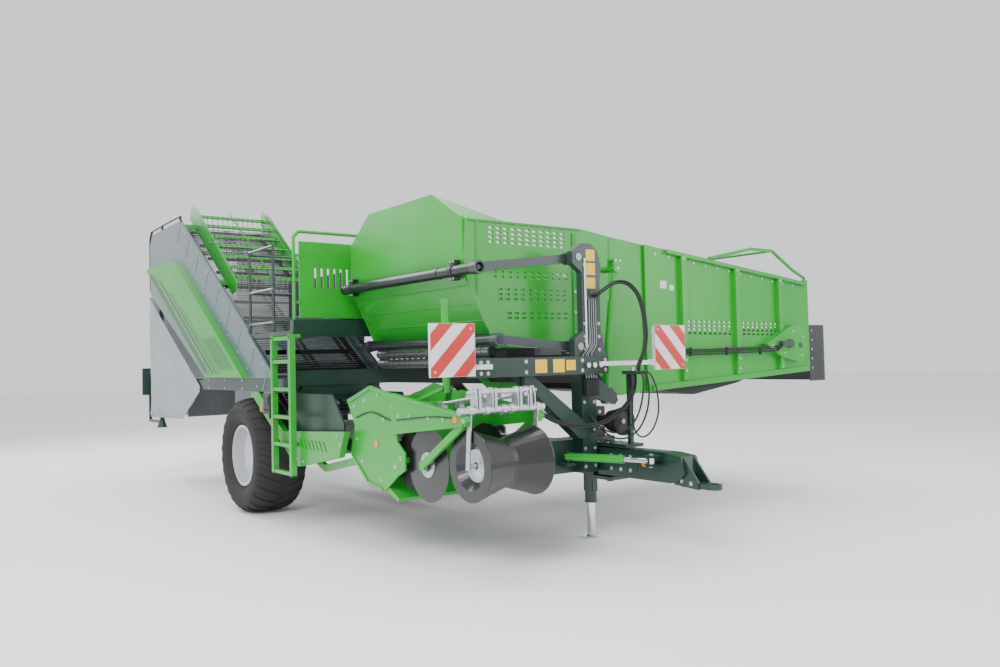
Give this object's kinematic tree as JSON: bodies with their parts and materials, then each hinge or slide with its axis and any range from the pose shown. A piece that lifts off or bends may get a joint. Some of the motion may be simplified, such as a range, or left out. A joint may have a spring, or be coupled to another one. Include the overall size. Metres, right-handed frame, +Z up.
{
  "type": "potato harvester",
  "caption": "Trailed bunker potato harvester: side digging unit, sieving elevator, sorting platform and a tipping side bunker with discharge end",
  "frame": {"origin": "middle of the bounding box on the ground", "axes": "X forward along the direction of travel, Y to the left where the bunker unloads, Z up"},
  "size_m": [9.746, 6.2718, 4.0264],
  "materials": {
    "green_paint": "gloss powder coat",
    "dark_green_paint": "gloss powder coat",
    "slate_paint": "smooth panel, satin",
    "dark_grey_paint": "satin",
    "galvanised": "hot-dip galvanised",
    "rim_silver": "silver lacquer",
    "tyre_rubber": "matt tread rubber",
    "black_rubber": "matt",
    "black_web": "matt rubber-covered bars",
    "light_canvas": "woven canvas, matt",
    "black_canvas": "coated canvas",
    "black_plastic": "moulded",
    "board_white": "reflective sheet"
  },
  "bodies": {
    "wheel_right": {"rim_right": "rim_silver", "tyre_right": "tyre_rubber"},
    "wheel_left": {"rim_left": "rim_silver", "tyre_left": "tyre_rubber"},
    "chassis": {"axle": "dark_green_paint", "cable_loop": "black_rubber", "cable_plug": "black_plastic", "comb_frame": "green_paint", "digger_hoses": "black_rubber", "elevator_cover": "green_paint", "elevator_side_left": "slate_paint", "elevator_side_right": "slate_paint", "front_frame": "dark_green_paint", "guard_panel": "green_paint", "handrails": "slate_paint", "hose_bundle": "black_rubber", "main_frame": "dark_green_paint", "mast": "dark_grey_paint", "platform": "dark_green_paint", "pto_guard": "black_plastic", "rear_curtain": "light_canvas", "rear_frame": "dark_green_paint", "side_arm_right": "green_paint", "sieving_web": "black_web", "sorting_table": "black_web", "under_curtain": "black_canvas", "warning_board_left": "board_white", "warning_board_right": "board_white", "web_channel": "dark_green_paint"},
    "ladder": {"ladder": "green_paint"},
    "drawbar": {"drawbar": "dark_green_paint"},
    "steer_barrel": {"steer_barrel": "green_paint"},
    "steer_rod": {"steer_rod": "galvanised"},
    "jack": {"jack_leg": "galvanised"},
    "digger": {"depth_shaft": "galvanised", "digger_frame": "green_paint", "intake_web": "black_web"},
    "disc_right": {"disc_right": "dark_grey_paint"},
    "disc_left": {"disc_left": "dark_grey_paint"},
    "ridge_roller": {"ridge_roller": "dark_grey_paint"},
    "intake_wheel": {"intake_wheel": "black_rubber"},
    "bunker": {"bunker_floor": "black_web", "bunker_front_wall": "green_paint", "bunker_hood": "green_paint", "bunker_rear_wall": "green_paint", "bunker_side": "green_paint"},
    "bunker_end": {"end_flap": "black_rubber", "end_frame": "green_paint", "extension_floor": "black_web", "extension_front_wall": "green_paint", "extension_rear_wall": "green_paint", "under_canvas": "black_canvas"},
    "upper_arm": {"upper_arm": "dark_grey_paint"},
    "lower_arm": {"lower_arm": "dark_grey_paint"},
    "bunker_barrel": {"bunker_barrel": "green_paint"},
    "bunker_rod": {"bunker_rod": "green_paint"}
  },
  "joints": [
    {"name": "wheel_right_spin", "type": "hinge", "parent": "chassis", "child": "wheel_right", "pos_m": [-0.433, -2.8344, 0.665], "axis": [0, 1, 0], "continuous": true},
    {"name": "wheel_left_spin", "type": "hinge", "parent": "chassis", "child": "wheel_left", "pos_m": [-0.433, -0.4344, 0.665], "axis": [0, 1, 0], "continuous": true},
    {"name": "drawbar_steer", "type": "hinge", "parent": "chassis", "child": "drawbar", "pos_m": [3.597, -1.0744, 0.75], "axis": [0, 0, 1], "range_deg": [-15, 15]},
    {"name": "steer_barrel_swing", "type": "hinge", "parent": "chassis", "child": "steer_barrel", "pos_m": [3.537, -1.5344, 0.82], "axis": [0, 0, 1], "range_deg": [-14, 14]},
    {"name": "steer_cylinder", "type": "slide", "parent": "steer_barrel", "child": "steer_rod", "axis": [0.9474, 0.3199, 0], "range_m": [-0.12, 0.12]},
    {"name": "jack_slide", "type": "slide", "parent": "chassis", "child": "jack", "axis": [0, 0, 1], "range_m": [0, 0.3]},
    {"name": "digger_lift", "type": "hinge", "parent": "chassis", "child": "digger", "pos_m": [1.057, -2.5344, 0.8], "axis": [0, 1, 0], "range_deg": [0, 13]},
    {"name": "disc_right_spin", "type": "hinge", "parent": "digger", "child": "disc_right", "pos_m": [3.327, -2.8794, 0.85], "axis": [0, 1, 0], "continuous": true},
    {"name": "disc_left_spin", "type": "hinge", "parent": "digger", "child": "disc_left", "pos_m": [3.327, -2.2894, 0.85], "axis": [0, 1, 0], "continuous": true},
    {"name": "ridge_roller_spin", "type": "hinge", "parent": "digger", "child": "ridge_roller", "pos_m": [3.947, -2.5844, 0.89], "axis": [0, 1, 0], "continuous": true},
    {"name": "intake_wheel_spin", "type": "hinge", "parent": "digger", "child": "intake_wheel", "pos_m": [2.987, -2.7894, 0.86], "axis": [0, 1, 0], "continuous": true},
    {"name": "bunker_lift", "type": "hinge", "parent": "chassis", "child": "lower_arm", "pos_m": [3.407, -1.3944, 1.81], "axis": [-1, 0, 0], "range_deg": [0, 30]},
    {"name": "bunker_tilt", "type": "hinge", "parent": "lower_arm", "child": "bunker", "pos_m": [3.407, -2.2344, 1.88], "axis": [1, 0, 0], "range_deg": [0, 43]},
    {"name": "upper_arm_swing", "type": "hinge", "parent": "chassis", "child": "upper_arm", "pos_m": [3.407, -1.3944, 2.63], "axis": [-1, 0, 0], "range_deg": [0, 21]},
    {"name": "bunker_barrel_swing", "type": "hinge", "parent": "chassis", "child": "bunker_barrel", "pos_m": [3.452, -0.9744, 1.3], "axis": [1, 0, 0], "range_deg": [0, 5]},
    {"name": "bunker_cylinder", "type": "slide", "parent": "bunker_barrel", "child": "bunker_rod", "axis": [0, 0.1337, 0.991], "range_m": [0, 0.72]},
    {"name": "bunker_fold", "type": "hinge", "parent": "bunker", "child": "bunker_end", "pos_m": [1.007, -0.0344, 1.56], "axis": [1, 0, 0], "range_deg": [0, 30]},
    {"name": "ladder_fold", "type": "hinge", "parent": "chassis", "child": "ladder", "pos_m": [0.587, -3.1044, 2.02], "axis": [0, -1, 0], "range_deg": [0, 95]}
  ],
  "couplings": [
    {"joint": "steer_barrel_swing", "follows": "drawbar_steer", "ratio": 0.75},
    {"joint": "steer_cylinder", "follows": "drawbar_steer", "m_per_rad": 0.415},
    {"joint": "bunker_tilt", "follows": "bunker_lift", "ratio": 1.388},
    {"joint": "upper_arm_swing", "follows": "bunker_lift", "ratio": 0.672},
    {"joint": "bunker_barrel_swing", "follows": "bunker_lift", "ratio": 0.129},
    {"joint": "bunker_cylinder", "follows": "bunker_lift", "m_per_rad": 1.315}
  ]
}
